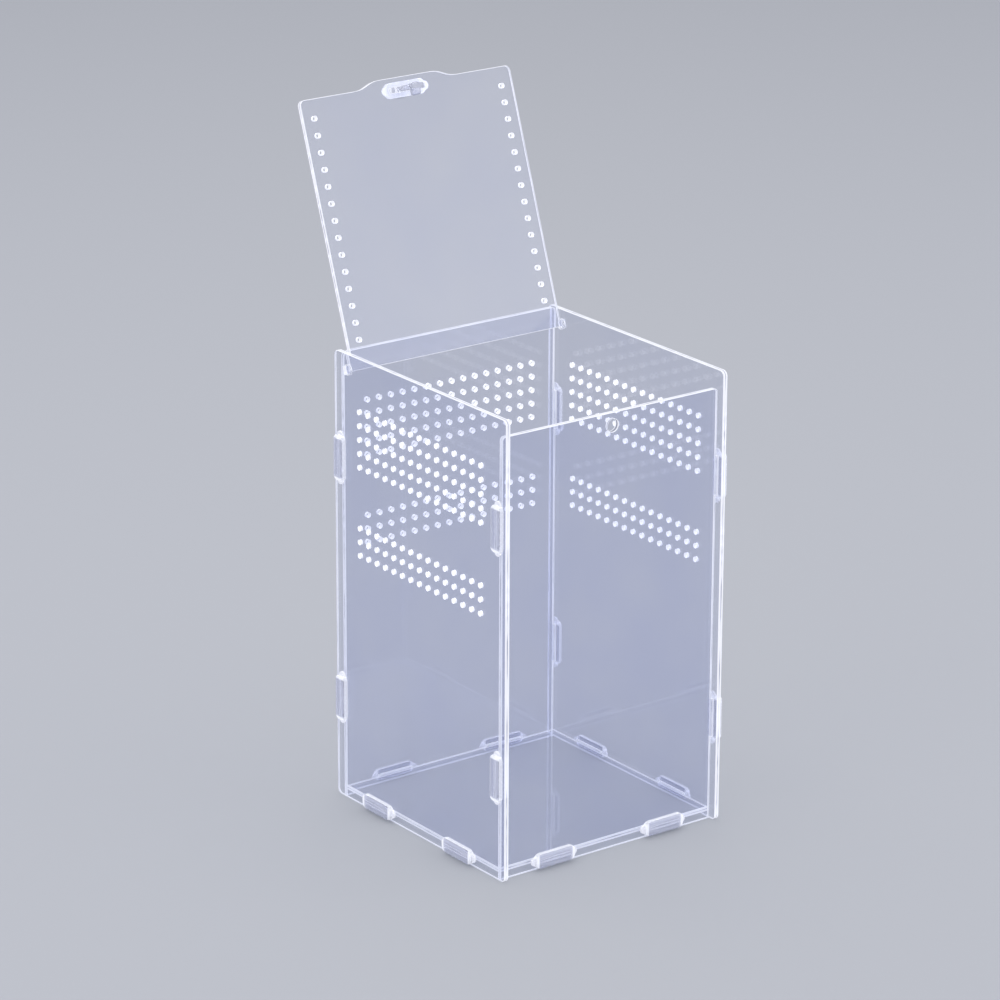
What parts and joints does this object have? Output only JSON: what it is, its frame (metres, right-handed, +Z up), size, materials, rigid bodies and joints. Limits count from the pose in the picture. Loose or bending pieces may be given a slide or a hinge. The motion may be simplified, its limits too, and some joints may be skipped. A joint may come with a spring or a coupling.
{
  "type": "reptile breeding box",
  "caption": "Tall clear box for keeping or breeding small reptiles, with a hinged lid that leans back when open, rows of vent holes and push-on caps at the joints.",
  "frame": {"origin": "middle of the front panel's bottom edge, on the surface that the box stands on", "axes": "+X to the right across the box, +Y from the front panel to the back panel, +Z up"},
  "size_m": [0.1472, 0.1896, 0.3786],
  "materials": {
    "clear_acrylic": "clear cast sheet with polished cut edges",
    "clear_polycarbonate": "clear moulding, glossy"
  },
  "bodies": {
    "box": {"left_side_panel": "clear_acrylic", "right_side_panel": "clear_acrylic", "front_panel": "clear_acrylic", "back_panel": "clear_acrylic", "floor_panel": "clear_acrylic", "cap_left_front_lower": "clear_polycarbonate", "cap_left_front_upper": "clear_polycarbonate", "cap_left_back_lower": "clear_polycarbonate", "cap_left_back_upper": "clear_polycarbonate", "cap_left_floor_front": "clear_polycarbonate", "cap_left_floor_back": "clear_polycarbonate", "cap_right_front_lower": "clear_polycarbonate", "cap_right_front_upper": "clear_polycarbonate", "cap_right_back_lower": "clear_polycarbonate", "cap_right_back_upper": "clear_polycarbonate", "cap_right_floor_front": "clear_polycarbonate", "cap_right_floor_back": "clear_polycarbonate", "cap_front_floor_left": "clear_polycarbonate", "cap_front_floor_right": "clear_polycarbonate", "cap_back_floor_left": "clear_polycarbonate", "cap_back_floor_right": "clear_polycarbonate"},
    "lid": {"lid_panel": "clear_acrylic", "lid_latch": "clear_polycarbonate"}
  },
  "joints": [
    {"name": "lid_hinge", "type": "hinge", "parent": "box", "child": "lid", "pos_m": [0, 0.13245, 0.24145], "axis": [1, 0, 0], "range_deg": [0, 109.59]}
  ]
}
